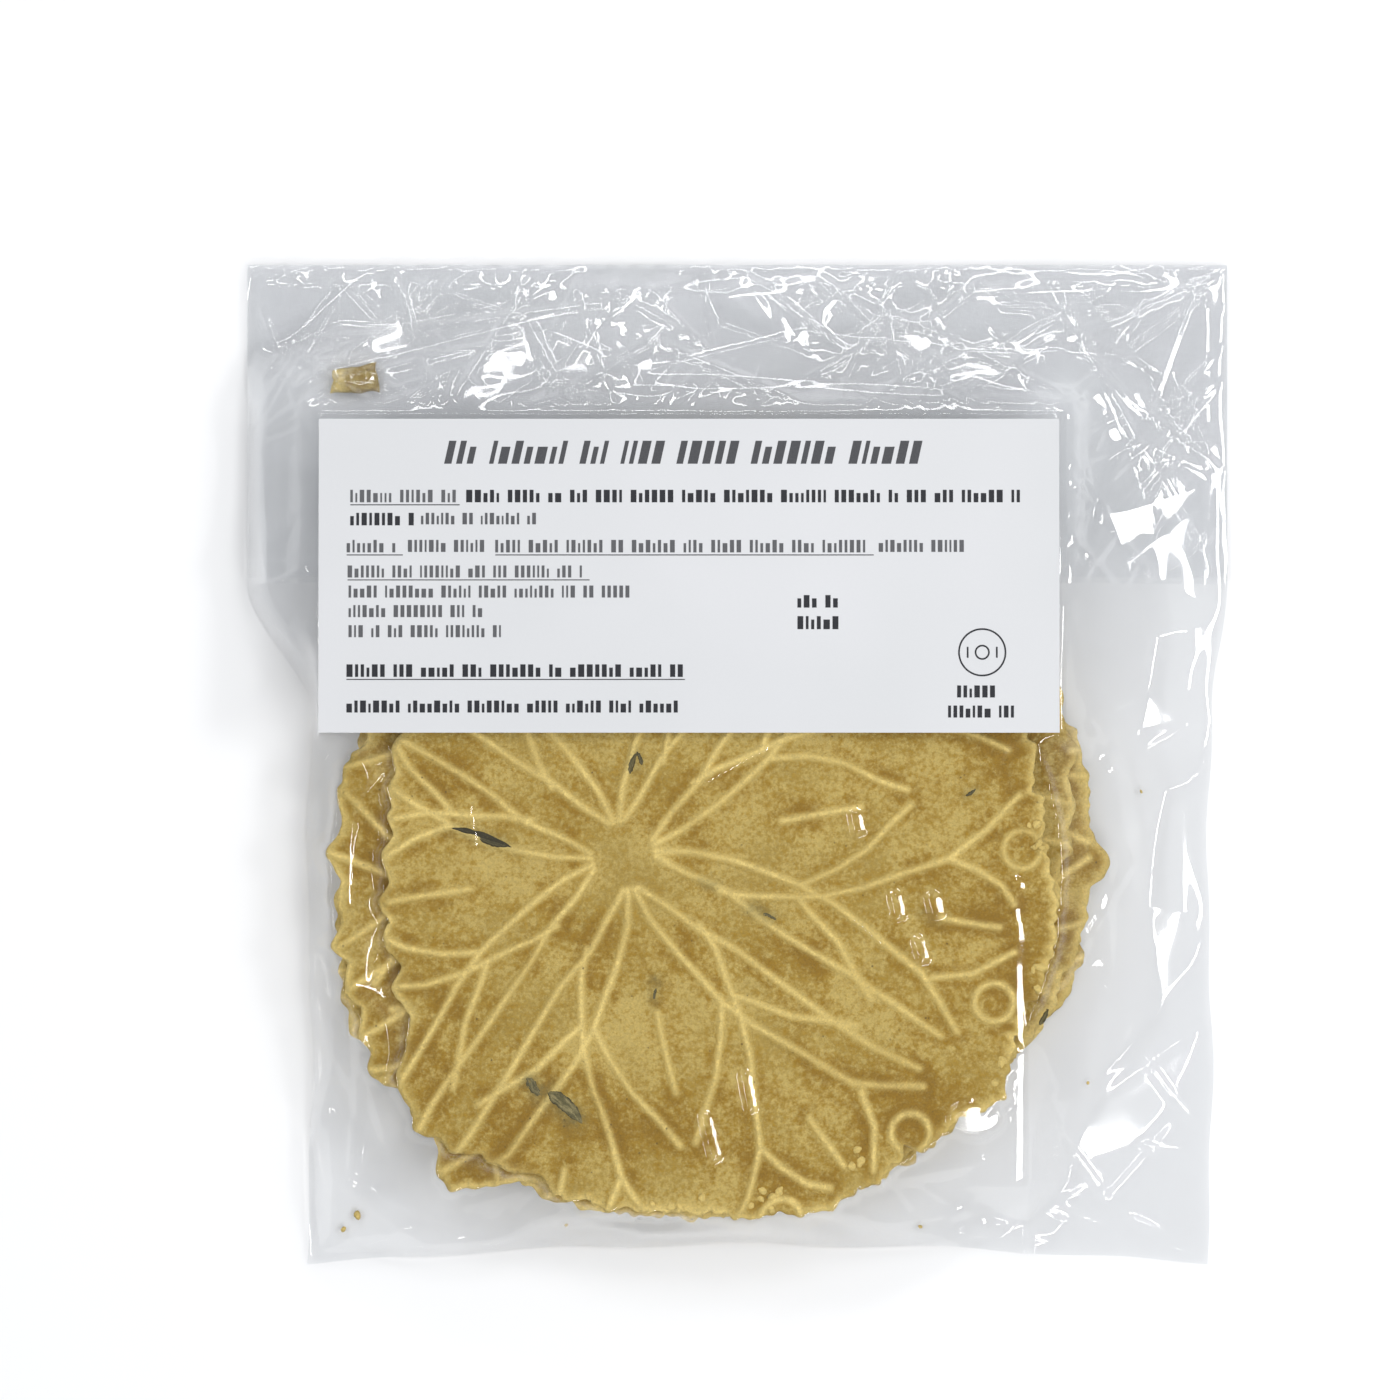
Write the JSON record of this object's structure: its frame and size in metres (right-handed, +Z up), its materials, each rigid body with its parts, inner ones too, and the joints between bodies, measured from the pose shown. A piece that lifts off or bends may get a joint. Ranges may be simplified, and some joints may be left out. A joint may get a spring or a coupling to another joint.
{
  "type": "pizzelle wafer cookie pack",
  "caption": "Clear sealed bag lying flat over a stack of round leaf-veined pizzelle wafers, its mouth folded forward as a flap and held down by a plain paper label.",
  "frame": {"origin": "on the surface that the bag lies on, below the middle of the bag's outline", "axes": "+Z up through the label side, +Y from the bottom hem to the folded mouth, +X across the bag"},
  "size_m": [0.197, 0.201, 0.0209],
  "materials": {
    "film": "clear glossy crinkled polypropylene film over golden wafers",
    "paper": "smooth matt white label paper with dark grey print",
    "wafer": "dry baked olive-gold wafer, paler on its ridges and browner at its rim"
  },
  "bodies": {
    "root": {"bag": "film", "label": "paper"}
  },
  "joints": []
}
